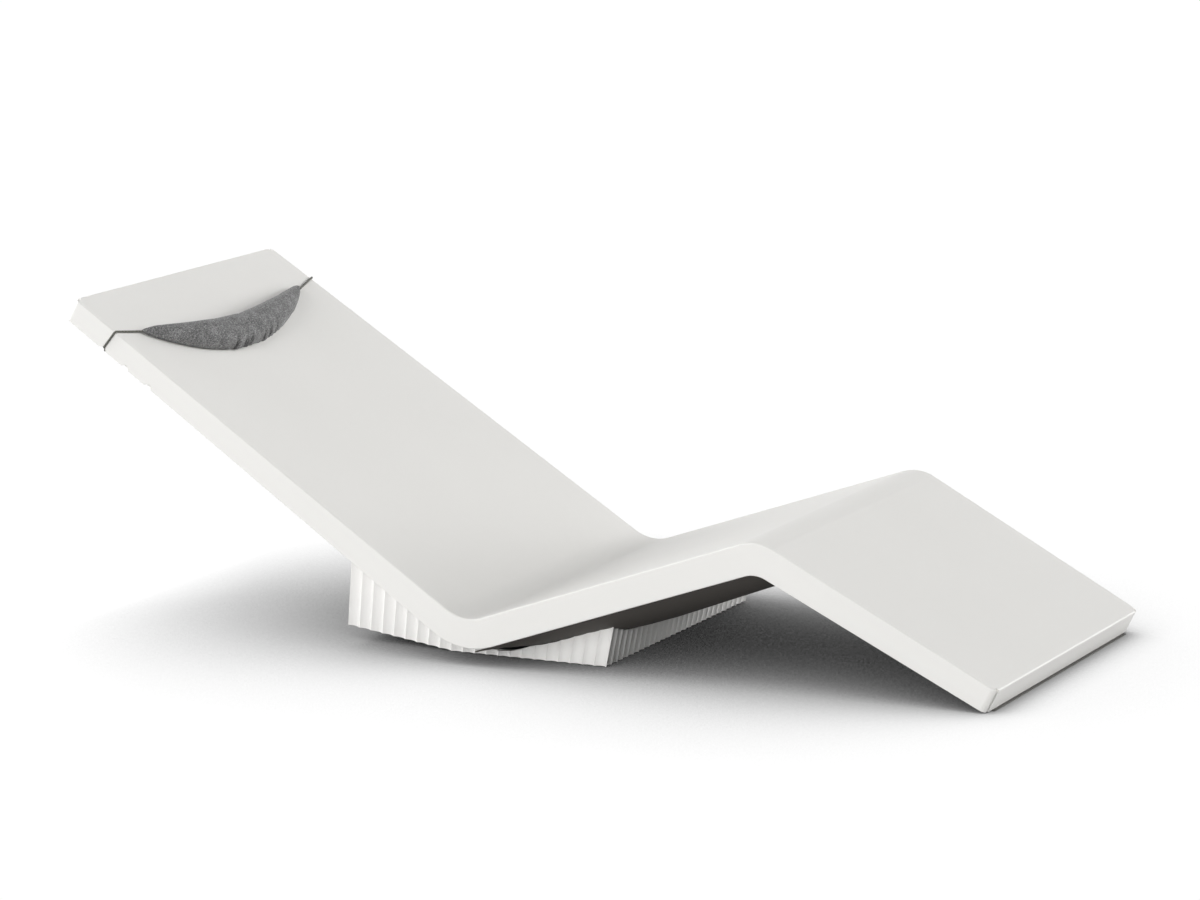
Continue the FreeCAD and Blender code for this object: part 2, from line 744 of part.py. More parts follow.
def add_floor_plate():
    """Add the steel floor plate with its glide holes."""
    body = add_body("base_floor_plate")
    sketch = add_sketch(body, "plate_outline", "XY_Plane")
    inset = mm("base_wall") + mm("floor_plate_margin")
    front = VIEW.hip_x + mm("base_front") - inset
    rear = VIEW.hip_x - mm("base_floor_back")
    half = BASE_WIDTH / 2 - inset
    corners = [Vector(rear, -half, 0), Vector(front, -half, 0), Vector(front, half, 0), Vector(rear, half, 0)]
    for index, corner in enumerate(corners):
        sketch.addGeometry(Part.LineSegment(corner, corners[(index + 1) % 4]))
    up = Vector(0, 0, 1)
    for x_sign in (-1, 1):
        for y_sign in (-1, 1):
            sketch.addGeometry(Part.Circle(plate_corner(x_sign, y_sign), up, mm("glide_stem_radius")))
    for place in bolt_places():
        sketch.addGeometry(Part.Circle(place, up, mm("bolt_radius")))
    pad = body.newObject("PartDesign::Pad", "plate_thickness")
    pad.Profile = sketch
    pad.setExpression("Length", "Dimensions.floor_plate_thickness")
    body.Placement = FreeCAD.Placement(Vector(0, 0, mm("glide_height")), FreeCAD.Rotation())


def group_node(name, members):
    """Add one node that holds identical separate solids."""
    group = DOC.addObject("Part::Compound", name)
    group.Label = name
    group.Links = members


def bound(feature, **expressions):
    """Bind sizes of one feature to the sheet."""
    for size, expression in expressions.items():
        feature.setExpression(size, expression)
    return feature


def placed(feature, place):
    """Put one feature at a place."""
    feature.Placement = FreeCAD.Placement(place, FreeCAD.Rotation())
    return feature


def hexagon(name, place, flats, height):
    """Add a hexagonal prism with the named size across flats and height."""
    prism = DOC.addObject("Part::Prism", name)
    prism.Polygon = 6
    bound(prism, Circumradius=f"Dimensions.{flats} / sqrt(3)", Height=f"Dimensions.{height}")
    return placed(prism, place)


def cylinder(name, place, radius, height):
    """Add a cylinder with the given expressions for its sizes."""
    rod = DOC.addObject("Part::Cylinder", name)
    bound(rod, Radius=radius, Height=height)
    return placed(rod, place)


def add_glides():
    """Add the four glides with their threaded stems, and the nuts that hold them."""
    glides, nuts = [], []
    for x_sign in (-1, 1):
        for y_sign in (-1, 1):
            place = plate_corner(x_sign, y_sign)
            number = len(glides) + 1
            pad = cylinder(f"glide_pad_{number}", place, "Dimensions.glide_radius", "Dimensions.glide_height")
            top = place + Vector(0, 0, mm("glide_height"))
            stem = cylinder(
                f"glide_stem_{number}", top, "Dimensions.glide_stem_radius", "Dimensions.glide_stem_length"
            )
            glide = DOC.addObject("Part::MultiFuse", f"glide_{number}")
            glide.Shapes = [pad, stem]
            glides.append(glide)
            seat = top + Vector(0, 0, mm("floor_plate_thickness"))
            hexed = hexagon(f"nut_hexagon_{number}", seat, "nut_across_flats", "nut_thickness")
            bore = cylinder(
                f"nut_bore_{number}", seat, "Dimensions.glide_stem_radius", "Dimensions.nut_thickness"
            )
            nut = DOC.addObject("Part::Cut", f"nut_{number}")
            nut.Base = hexed
            nut.Tool = bore
            nuts.append(nut)
    group_node("base_glides", glides)
    group_node("glide_nuts", nuts)


def bolt_places():
    """Return where the brackets' bolts stand on the floor plate."""
    front = VIEW.hip_x + mm("base_front") - mm("bracket_front_margin") - mm("bolt_inset")
    rear = VIEW.hip_x - mm("base_floor_back") + mm("bolt_inset")
    middle = (mm("rail_spacing") + mm("bracket_thickness") + mm("bracket_flange")) / 2
    return [Vector(x, side * middle, 0) for side in (-1, 1) for x in (rear, front)]


def add_brackets(bellies):
    """Add the two upright brackets, the web between them and their bolts."""
    above = above_line(VIEW.above_bottom(0), bend_radii(mm("hip_thickness")))
    floor = mm("glide_height") + mm("floor_plate_thickness")
    front = VIEW.hip_x + mm("base_front") - mm("bracket_front_margin")
    rear = VIEW.hip_x - mm("base_rear") + mm("bracket_rear_margin")
    plate_rear = VIEW.hip_x - mm("base_floor_back")
    rise = math.tan(radians("base_rear_rise_angle")) * (plate_rear - rear)
    tall = mm("base_block_height")
    side_points = [
        Vector(plate_rear, 0, floor),
        Vector(front, 0, floor),
        Vector(front, 0, tall),
        Vector(rear, 0, tall),
        Vector(rear, 0, floor + rise),
    ]
    for label, side in (("right", -1), ("left", 1)):
        upright = across(Part.Face(closed_polygon(side_points)), mm("bracket_thickness"))
        upright.translate(Vector(0, side * mm("rail_spacing") / 2, 0))
        flange_width = mm("bracket_flange")
        near = side * (mm("rail_spacing") + mm("bracket_thickness")) / 2
        flange = Part.makeBox(
            front - plate_rear,
            flange_width,
            mm("bracket_flange_thickness"),
            Vector(plate_rear, min(near, near + side * flange_width), floor),
        )
        bracket = upright.fuse(flange)
        for place in bolt_places():
            hole = Part.makeCylinder(mm("bolt_radius"), tall, place)
            bracket = bracket.cut(hole) if place.y * side > 0 else bracket
        bracket = bracket.cut(above)
        for belly in bellies:
            bracket = bracket.cut(belly)
        bracket = bracket.removeSplitter()
        add_shape(f"base_bracket_{label}", max(bracket.Solids, key=lambda solid: solid.Volume))
    clear = mm("rail_spacing") - mm("bracket_thickness")
    web = Part.makeBox(
        mm("web_thickness"), clear, tall, Vector(VIEW.hip_x - mm("web_thickness") / 2, -clear / 2, floor)
    )
    web = web.cut(above)
    for belly in bellies:
        web = web.cut(belly)
    add_shape("base_web", max(web.Solids, key=lambda solid: solid.Volume))
    bolts = []
    seat = Vector(0, 0, floor + mm("bracket_flange_thickness"))
    for number, place in enumerate(bolt_places(), start=1):
        head = hexagon(f"bolt_head_{number}", place + seat, "bolt_head_flats", "bolt_head_height")
        shank = cylinder(
            f"bolt_shank_{number}",
            place + Vector(0, 0, mm("glide_height")),
            "Dimensions.bolt_radius",
            "Dimensions.floor_plate_thickness + Dimensions.bracket_flange_thickness",
        )
        bolt = DOC.addObject("Part::MultiFuse", f"bolt_{number}")
        bolt.Shapes = [head, shank]
        bolts.append(bolt)
    group_node("bracket_bolts", bolts)


def add_foot_strip():
    """Add the rubber strip under the lower edge of the foot end."""
    strip = DOC.addObject("Part::Box", "foot_strip")
    strip.Label = "foot_strip"
    bound(
        strip,
        Length="Dimensions.strip_width",
        Width="Dimensions.foot_width - 2 * Dimensions.strip_end_margin - 2 * Dimensions.side_thickness",
        Height="Dimensions.strip_height",
    )
    corner = VIEW.above_bottom(0)[3]
    calf = radians("calf_angle")
    rear = corner.x - mm("strip_height") / math.tan(calf)
    half = mm("foot_width") / 2 - mm("strip_end_margin") - mm("side_thickness")
    placed(strip, Vector(rear, -half, 0))


# Pillow and cord. Points on the back are (distance from the head, across, height above the skin).


def on_back(distance, across_y, height):
    """Return a point of the space over the back's upper face."""
    point = VIEW.top[0] + VIEW.ways[0] * distance - VIEW.downs[0] * height
    return Vector(point.x, across_y, point.z)


def pillow_section(share):
    """Return the closed section of the pillow at a signed share of half its length."""
    full = math.sqrt(max(1 - share * share, 0))
    width = mm("pillow_tip_width") + (mm("pillow_width") - mm("pillow_tip_width")) * full
    crown = mm("pillow_tip_crown") + (mm("pillow_crown") - mm("pillow_tip_crown")) * full
    middle = mm("pillow_tip_offset") + mm("pillow_sag") * (1 - share * share)
    y = share * mm("pillow_length") / 2
    floor = mm("soft_clearance")
    seam = width * (0.5 - PILLOW_SEAM_SHARE)
    shoulder = width * (0.5 - PILLOW_SHOULDER_SHARE)
    wide = width * (0.5 + PILLOW_BULGE_SHARE)
    side_height = crown * PILLOW_SIDE_SHARE
    shoulder_height = crown * (1 + PILLOW_SIDE_SHARE) / 2
    low_up = on_back(middle - seam, y, floor)
    low_down = on_back(middle + seam, y, floor)
    wide_up = on_back(middle - wide, y, floor + side_height / 2)
    wide_down = on_back(middle + wide, y, floor + side_height / 2)
    high_up = on_back(middle - shoulder, y, floor + shoulder_height)
    high_down = on_back(middle + shoulder, y, floor + shoulder_height)
    summit = on_back(middle, y, floor + crown)
    return Part.Wire(
        [
            Part.LineSegment(low_up, low_down).toShape(),
            Part.Arc(low_down, wide_down, high_down).toShape(),
            Part.Arc(high_down, summit, high_up).toShape(),
            Part.Arc(high_up, wide_up, low_up).toShape(),
        ]
    )


def pillow_shape():
    """Return the pillow: a crescent with a crown and drawn-in sides."""
    shares = [-share for share in reversed(PILLOW_STATION_SHARES[1:])] + list(PILLOW_STATION_SHARES)
    return Part.makeLoft([pillow_section(share) for share in shares], True, True)


def cord_path():
    """Return the cord's line from one pillow tip round under the slab to the other tip."""
    off = mm("cord_diameter") / 2 + mm("soft_clearance")
    wide_off = mm("cord_diameter") / 2 + mm("cord_wall_clearance")
    thickness = back_thickness(mm("first_notch"))
    apex_depth = thickness - mm("notch_rise")
    under_apex = mm("first_notch") - mm("cord_apex_shift")
    edge = mm("first_notch") + mm("cord_edge_shift")
    tip_y = mm("pillow_length") / 2 - mm("cord_tuck")
    turn_depth = apex_depth + mm("cord_apex_drop")
    apex_half = half_width_at(on_back(mm("first_notch"), 0, -apex_depth).x)
    turn_half = half_width_at(on_back(under_apex, 0, -turn_depth).x)
    edge_half = half_width_at(on_back(edge, 0, 0).x)
    pocket = apex_half - mm("notch_depth") + wide_off
    side_points = [
        on_back(mm("pillow_tip_offset") + mm("cord_tip_shift"), tip_y, off + mm("cord_tip_rise")),
        on_back(edge, edge_half + off, off),
        on_back(under_apex, turn_half + off, -turn_depth),
        on_back(under_apex, pocket, -turn_depth - mm("cord_pocket_fall")),
        on_back(under_apex, pocket, -thickness - wide_off),
    ]
    other_side = [Vector(point.x, -point.y, point.z) for point in reversed(side_points)]
    radii = [0, *[mm("cord_bend_radius")] * (len(side_points) - 1)]
    return Part.Wire(rounded_edges([*side_points, *other_side], [*radii, *reversed(radii)], closed=False))


def add_pillow():
    """Add the pillow and its elastic cord."""
    path = cord_path()
    start = path.Edges[0].valueAt(path.Edges[0].FirstParameter)
    way = path.Edges[0].tangentAt(path.Edges[0].FirstParameter)
    ring = Part.Wire([Part.makeCircle(mm("cord_diameter") / 2, start, way)])
    cord = path.makePipeShell([ring], True, False)
    channel = path.makePipeShell(
        [Part.Wire([Part.makeCircle(mm("cord_diameter") / 2 + mm("soft_clearance") / 4, start, way)])], True, False
    )
    add_shape("pillow", one_solid(pillow_shape().cut(channel)))
    add_shape("pillow_cord", one_solid(cord))


def sub_parts():
    """Return the labelled objects that are sub-parts: bodies, features and groups that nothing else uses."""
    kinds = ("PartDesign::Body", "Part::Feature", "Part::Compound", "Part::Box")
    return [item for item in DOC.Objects if item.TypeId in kinds and is_free(item)]


def is_free(item):
    """Tell whether no other solid uses an object as an input."""
    return not any(user.TypeId.startswith("Part::") for user in item.InList)


def check_and_write():
    """Check every object, then write one file for each sub-part."""
    DOC.recompute()
    for item in DOC.Objects:
        if "Invalid" in item.State or "Error" in item.State:
            raise RuntimeError(f"{item.Label} is in state {item.State}")
    os.makedirs("parts", exist_ok=True)
    for item in sub_parts():
        shape = item.Shape
        if shape.isNull() or not shape.isValid():
            raise RuntimeError(f"{item.Label} has no valid shape")
        shape.exportStep(f"parts/{item.Label}.step")
        print(item.Label, len(shape.Solids), round(shape.Volume))


add_slab_panels()
BELLIES = add_bellies()
add_frame()
add_base_panels(BELLIES)
add_floor_plate()
add_glides()
add_brackets(BELLIES)
add_foot_strip()
add_pillow()
check_and_write()
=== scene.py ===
"""Spa relaxation lounger: a white bent deck on a fluted base, with a grey crescent head pillow."""

import logging
import math
from dataclasses import dataclass
from enum import Enum

import bmesh
import bpy
from mathutils import Matrix, Vector


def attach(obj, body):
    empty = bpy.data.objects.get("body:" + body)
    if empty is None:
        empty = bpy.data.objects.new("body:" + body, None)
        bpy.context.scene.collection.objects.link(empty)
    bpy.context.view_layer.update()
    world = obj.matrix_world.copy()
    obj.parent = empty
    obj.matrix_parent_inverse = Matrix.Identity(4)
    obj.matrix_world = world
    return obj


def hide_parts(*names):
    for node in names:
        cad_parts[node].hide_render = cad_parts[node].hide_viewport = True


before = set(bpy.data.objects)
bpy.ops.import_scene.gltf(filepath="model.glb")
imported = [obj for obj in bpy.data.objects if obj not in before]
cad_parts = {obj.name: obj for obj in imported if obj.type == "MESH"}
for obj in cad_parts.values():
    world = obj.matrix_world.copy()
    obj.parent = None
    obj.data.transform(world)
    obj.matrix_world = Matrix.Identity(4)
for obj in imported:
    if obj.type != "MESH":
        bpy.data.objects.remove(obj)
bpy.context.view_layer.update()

LOG = logging.getLogger("spa_lounger")
MILLIMETRE = 0.001
WHITE = (1.0, 1.0, 1.0, 1.0)


class Lay(Enum):
    """How a fabric's flecks run on the pillow, with the axis that they follow."""

    ALONG_BACK = 0
    ACROSS_BACK = 1


def linear(hex_colour: str) -> tuple[float, float, float, float]:
    """Turn an sRGB hex colour into a linear RGBA colour, by the sRGB standard's curve.

    Args:
        hex_colour: Colour such as "#DCDBD8".

    Returns:
        Linear red, green, blue and an alpha of one.
    """
    values = [int(hex_colour[i:i + 2], 16) / 255 for i in (1, 3, 5)]
    red, green, blue = (
        v / 12.92 if v <= 0.04045 else ((v + 0.055) / 1.055) ** 2.4 for v in values
    )
    return red, green, blue, 1.0


def pattern_scale(size_mm: float) -> float:
    """Return the scale that makes a pattern's features size_mm large on Object coordinates."""
    return 1.0 / (size_mm * MILLIMETRE)


def add_node(
    tree: bpy.types.NodeTree, kind: str, settings: dict | None = None, **inputs: object
) -> bpy.types.Node:
    """Add a shader node with its settings, values and links.

    Args:
        tree: Node tree that gets the node.
        kind: Blender's node type name.
        settings: Attributes of the node, such as its blend type.
        **inputs: Values or output sockets, keyed by input name with underscores for blanks,
            or by in_N for input number N.

    Returns:
        The new node.
    """
    node = tree.nodes.new(kind)
    for name, value in (settings or {}).items():
        setattr(node, name, value)
    for name, value in inputs.items():
        key = int(name[3:]) if name.startswith("in_") else name.replace("_", " ")
        if isinstance(value, bpy.types.NodeSocket):
            tree.links.new(value, node.inputs[key])
        else:
            node.inputs[key].default_value = value
    return node


def new_material(name: str) -> tuple[bpy.types.Material, bpy.types.NodeTree]:
    """Make an empty node material.

    Args:
        name: Name of the material.

    Returns:
        The material and its cleared node tree.
    """
    material = bpy.data.materials.new(name)
    material.use_nodes = True
    material.node_tree.nodes.clear()
    return material, material.node_tree


def seen_share(tree: bpy.types.NodeTree) -> bpy.types.NodeSocket:
    """Add the nodes that tell looking from lighting.

    Args:
        tree: Node tree of a surface or a world.

    Returns:
        A socket of one where a ray looks, straight, mirrored or through, and zero elsewhere.
    """
    path = add_node(tree, "ShaderNodeLightPath").outputs
    seen = path["Is Camera Ray"]
    for way in ("Is Glossy Ray", "Is Transmission Ray"):
        seen = add_node(
            tree, "ShaderNodeMath", {"operation": "MAXIMUM"}, in_0=seen, in_1=path[way]
        ).outputs[0]
    return seen


def dress(node_name: str, material: bpy.types.Material) -> None:
    """Give a CAD node its material in every slot it has.

    Args:
        node_name: Name of the node in the frame.
        material: Material for the whole node.
    """
    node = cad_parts[node_name]
    if not node.material_slots:
        node.data.materials.append(material)
    for slot in node.material_slots:
        slot.material = material


def shade_smooth(data: bpy.types.Mesh) -> None:
    """Shade every face of a mesh smooth."""
    data.polygons.foreach_set("use_smooth", [True] * len(data.polygons))


def link_mesh(mesh: bmesh.types.BMesh, name: str) -> bpy.types.Object:
    """Turn a bmesh into a linked object at the origin, with smooth shading.

    Args:
        mesh: Finished bmesh, freed here.
        name: Name of the object.

    Returns:
        The new object.
    """
    data = bpy.data.meshes.new(name)
    mesh.to_mesh(data)
    mesh.free()
    shade_smooth(data)
    item = bpy.data.objects.new(name, data)
    bpy.context.scene.collection.objects.link(item)
    return item


@dataclass(frozen=True)
class MouldedFinish:
    """A moulded skin: nearly even colour, a fine spray grain and faint cloudiness."""

    name: str
    colour: str
    cloud_colour: str
    roughness: float
    gloss_spread: float = 0.05
    specular: float = 0.35
    refraction: float = 1.46
    cloud_mm: float = 260.0
    cloud_detail: float = 3.0
    grain_mm: float = 1.6
    grain_detail: float = 2.0
    grain_height_mm: float = 0.02
    grain_strength: float = 0.6
    wave_mm: float = 90.0
    wave_detail: float = 1.0
    wave_height_mm: float = 0.05
    wave_strength: float = 0.5

    def build(self) -> bpy.types.Material:
        """Make the material."""
        material, tree = new_material(self.name)
        place = add_node(tree, "ShaderNodeTexCoord").outputs["Object"]
        cloud, grain, wave = (
            add_node(
                tree, "ShaderNodeTexNoise", Vector=place, Scale=pattern_scale(size), Detail=detail
            ).outputs["Fac"]
            for size, detail in (
                (self.cloud_mm, self.cloud_detail),
                (self.grain_mm, self.grain_detail),
                (self.wave_mm, self.wave_detail),
            )
        )
        tint = add_node(
            tree, "ShaderNodeMix", {"data_type": "RGBA"}, in_0=cloud,
            in_6=linear(self.colour), in_7=linear(self.cloud_colour),
        ).outputs[2]
        gloss = add_node(
            tree, "ShaderNodeMapRange", Value=grain,
            To_Min=self.roughness - self.gloss_spread, To_Max=self.roughness + self.gloss_spread,
        ).outputs["Result"]
        low = add_node(
            tree, "ShaderNodeBump", Height=wave,
            Distance=self.wave_height_mm * MILLIMETRE, Strength=self.wave_strength,
        ).outputs["Normal"]
        bump = add_node(
            tree, "ShaderNodeBump", Height=grain, Normal=low,
            Distance=self.grain_height_mm * MILLIMETRE, Strength=self.grain_strength,
        ).outputs["Normal"]
        shader = add_node(
            tree, "ShaderNodeBsdfPrincipled", Base_Color=tint, Roughness=gloss, Normal=bump,
            IOR=self.refraction, Specular_IOR_Level=self.specular,
        )
        add_node(tree, "ShaderNodeOutputMaterial", Surface=shader.outputs[0])
        return material


@dataclass(frozen=True)
class MetalFinish:
    """A steel part, zinc plated or powder coated, with a directionless fine grain."""

    name: str
    colour: str
    worn_colour: str
    metallic: float
    roughness: float
    gloss_spread: float = 0.08
    grain_mm: float = 2.5
    grain_detail: float = 4.0
    grain_height_mm: float = 0.03
    grain_strength: float = 0.5
    wear_mm: float = 40.0
    wear_detail: float = 3.0

    def build(self) -> bpy.types.Material:
        """Make the material."""
        material, tree = new_material(self.name)
        place = add_node(tree, "ShaderNodeTexCoord").outputs["Object"]
        grain, wear = (
            add_node(
                tree, "ShaderNodeTexNoise", Vector=place, Scale=pattern_scale(size), Detail=detail
            ).outputs["Fac"]
            for size, detail in (
                (self.grain_mm, self.grain_detail), (self.wear_mm, self.wear_detail)
            )
        )
        tint = add_node(
            tree, "ShaderNodeMix", {"data_type": "RGBA"}, in_0=wear,
            in_6=linear(self.colour), in_7=linear(self.worn_colour),
        ).outputs[2]
        gloss = add_node(
            tree, "ShaderNodeMapRange", Value=grain,
            To_Min=self.roughness - self.gloss_spread, To_Max=self.roughness + self.gloss_spread,
        ).outputs["Result"]
        bump = add_node(
            tree, "ShaderNodeBump", Height=grain,
            Distance=self.grain_height_mm * MILLIMETRE, Strength=self.grain_strength,
        ).outputs["Normal"]
        shader = add_node(
            tree, "ShaderNodeBsdfPrincipled", Base_Color=tint, Metallic=self.metallic,
            Roughness=gloss, Normal=bump,
        )
        add_node(tree, "ShaderNodeOutputMaterial", Surface=shader.outputs[0])
        return material


@dataclass(frozen=True)
class MelangeFinish:
    """A woven melange wool-look fabric: dark and pale yarns in short flecks over a plain weave.

    A yarn is about 0.8 mm wide, finer than the render shows, so the flecks are drawn larger.
    """

    name: str
    dark: str
    middle: str
    pale: str
    tilt_degrees: float
    # The seam's colour, also used as painted shade where the pillow meets the back.
    seam_and_shade_colour: str = "#2C2C2C"
    dark_at: float = 0.24
    middle_at: float = 0.34
    pale_at: float = 0.46
    fleck_mm: float = 1.9
    fleck_stretch: float = 2.4
    fleck_detail: float = 3.0
    fleck_contrast: float = 0.7
    patch_mm: float = 22.0
    patch_detail: float = 2.0
    patch_share: float = 0.16
    yarn_mm: float = 1.6
    yarn_waver: float = 1.0
    yarn_detail: float = 1.0
    yarn_height_mm: float = 0.3
    yarn_strength: float = 0.6
    fuzz_height_mm: float = 0.8
    fuzz_strength: float = 0.7
    roughness: float = 0.95
    sheen: float = 0.15
    sheen_roughness: float = 0.6
    specular: float = 0.15

    def build(self) -> bpy.types.Material:
        """Make the material."""
        material, tree = new_material(self.name)
        place = add_node(tree, "ShaderNodeTexCoord").outputs["Object"]
        turned = add_node(
            tree, "ShaderNodeMapping", Vector=place,
            Rotation=(0.0, math.radians(-self.tilt_degrees), 0.0),
        ).outputs["Vector"]
        flecks = self.add_flecks(tree, turned)
        weave = [
            add_node(
                tree, "ShaderNodeTexWave", {"bands_direction": way}, Vector=turned,
                Scale=pattern_scale(self.yarn_mm) / (2 * math.pi),
                Distortion=self.yarn_waver, Detail=self.yarn_detail,
            ).outputs["Fac"]
            for way in ("X", "Y")
        ]
        woven = add_node(
            tree, "ShaderNodeMath", {"operation": "MULTIPLY"}, in_0=weave[0], in_1=weave[1]
        ).outputs[0]
        fuzz = add_node(
            tree, "ShaderNodeBump", Height=flecks,
            Distance=self.fuzz_height_mm * MILLIMETRE, Strength=self.fuzz_strength,
        ).outputs["Normal"]
        bump = add_node(
            tree, "ShaderNodeBump", Height=woven, Normal=fuzz,
            Distance=self.yarn_height_mm * MILLIMETRE, Strength=self.yarn_strength,
        ).outputs["Normal"]
        shader = add_node(
            tree, "ShaderNodeBsdfPrincipled", Base_Color=self.add_tint(tree, turned, flecks),
            Roughness=self.roughness, Normal=bump, Sheen_Weight=self.sheen,
            Sheen_Roughness=self.sheen_roughness, Specular_IOR_Level=self.specular,
        )
        add_node(tree, "ShaderNodeOutputMaterial", Surface=shader.outputs[0])
        return material

    def add_flecks(
        self, tree: bpy.types.NodeTree, place: bpy.types.NodeSocket
    ) -> bpy.types.NodeSocket:
        """Add the flecks of both thread directions.

        Args:
            tree: Node tree of the fabric.
            place: Coordinates turned to lie on the back.

        Returns:
            The product of the two layers of flecks.
        """
        layers = []
        for lay in Lay:
            stretch = [self.fleck_stretch if axis == lay.value else 1.0 for axis in range(3)]
            stretched = add_node(
                tree, "ShaderNodeMapping", {"vector_type": "TEXTURE"}, Vector=place, Scale=stretch
            ).outputs["Vector"]
            layers.append(
                add_node(
                    tree, "ShaderNodeTexNoise", Vector=stretched,
                    Scale=pattern_scale(self.fleck_mm), Detail=self.fleck_detail,
                    Roughness=self.fleck_contrast,
                ).outputs["Fac"]
            )
        return add_node(
            tree, "ShaderNodeMath", {"operation": "MULTIPLY"}, in_0=layers[0], in_1=layers[1]
        ).outputs[0]

    def add_tint(
        self, tree: bpy.types.NodeTree, place: bpy.types.NodeSocket, flecks: bpy.types.NodeSocket
    ) -> bpy.types.NodeSocket:
        """Add the fabric's colour, darkened along the seam and, as painted shade, towards the
        back's face where the pillow meets it.

        Args:
            tree: Node tree of the fabric.
            place: Coordinates turned to lie on the back.
            flecks: Value of the flecks.

        Returns:
            The colour's socket.
        """
        patches = add_node(
            tree, "ShaderNodeTexNoise", Vector=place,
            Scale=pattern_scale(self.patch_mm), Detail=self.patch_detail,
        ).outputs["Fac"]
        mixed = add_node(
            tree, "ShaderNodeMath", {"operation": "MULTIPLY_ADD"},
            in_0=patches, in_1=self.patch_share, in_2=flecks,
        ).outputs[0]
        ramp = add_node(tree, "ShaderNodeValToRGB", Fac=mixed)
        stops = ramp.color_ramp.elements
        stops[0].position, stops[1].position = self.dark_at, self.pale_at
        stops[0].color, stops[1].color = linear(self.dark), linear(self.pale)
        stops.new(self.middle_at).color = linear(self.middle)
        # Painted shade: towards the back's face the fabric darkens to the seam colour.
        seam_and_shade = add_node(tree, "ShaderNodeAttribute", {"attribute_name": "seam_and_shade"}).outputs["Fac"]
        return add_node(
            tree, "ShaderNodeMix", {"data_type": "RGBA"}, in_0=seam_and_shade,
            in_6=ramp.outputs["Color"], in_7=linear(self.seam_and_shade_colour),
        ).outputs[2]


@dataclass(frozen=True)
class BraidFinish:
    """A braided elastic cord: textile cover over rubber, with a diagonal braid."""

    name: str
    colour: str
    shade: str
    braid_mm: float = 1.8
    braid_waver: float = 0.6
    braid_height_mm: float = 0.2
    braid_strength: float = 0.7
    roughness: float = 0.8
    specular: float = 0.25

    def build(self) -> bpy.types.Material:
        """Make the material."""
        material, tree = new_material(self.name)
        place = add_node(tree, "ShaderNodeTexCoord").outputs["Object"]
        strands = [
            add_node(
                tree, "ShaderNodeTexWave", {"bands_direction": "DIAGONAL"},
                Vector=add_node(
                    tree, "ShaderNodeMapping", Vector=place, Rotation=(0.0, 0.0, turn)
                ).outputs["Vector"],
                Scale=pattern_scale(self.braid_mm) / (2 * math.pi), Distortion=self.braid_waver,
            ).outputs["Fac"]
            for turn in (0.0, math.pi / 2)
        ]
        braid = add_node(
            tree, "ShaderNodeMath", {"operation": "MAXIMUM"}, in_0=strands[0], in_1=strands[1]
        ).outputs[0]
        # Painted shade: the braid's grooves take the darker grey and its raised strands the paler
        # one.
        tint = add_node(
            tree, "ShaderNodeMix", {"data_type": "RGBA"}, in_0=braid,
            in_6=linear(self.shade), in_7=linear(self.colour),
        ).outputs[2]
        bump = add_node(
            tree, "ShaderNodeBump", Height=braid,
            Distance=self.braid_height_mm * MILLIMETRE, Strength=self.braid_strength,
        ).outputs["Normal"]
        shader = add_node(
            tree, "ShaderNodeBsdfPrincipled", Base_Color=tint, Roughness=self.roughness,
            Normal=bump, Specular_IOR_Level=self.specular,
        )
        add_node(tree, "ShaderNodeOutputMaterial", Surface=shader.outputs[0])
        return material


@dataclass(frozen=True)
class SoftLight:
    """A broad, distant soft light: the direction it comes from, its strength and its spread."""

    name: str
    way: tuple[float, float, float]
    strength: float
    spread_degrees: float = 50.0

    def build(self) -> None:
        """Hang the light."""
        lamp = bpy.data.lights.new(self.name, "SUN")
        lamp.angle = math.radians(self.spread_degrees)
        lamp.energy = self.strength
        light = bpy.data.objects.new(self.name, lamp)
        light.matrix_world = Vector(self.way).to_track_quat("Z", "Y").to_matrix().to_4x4()
        bpy.context.scene.collection.objects.link(light)


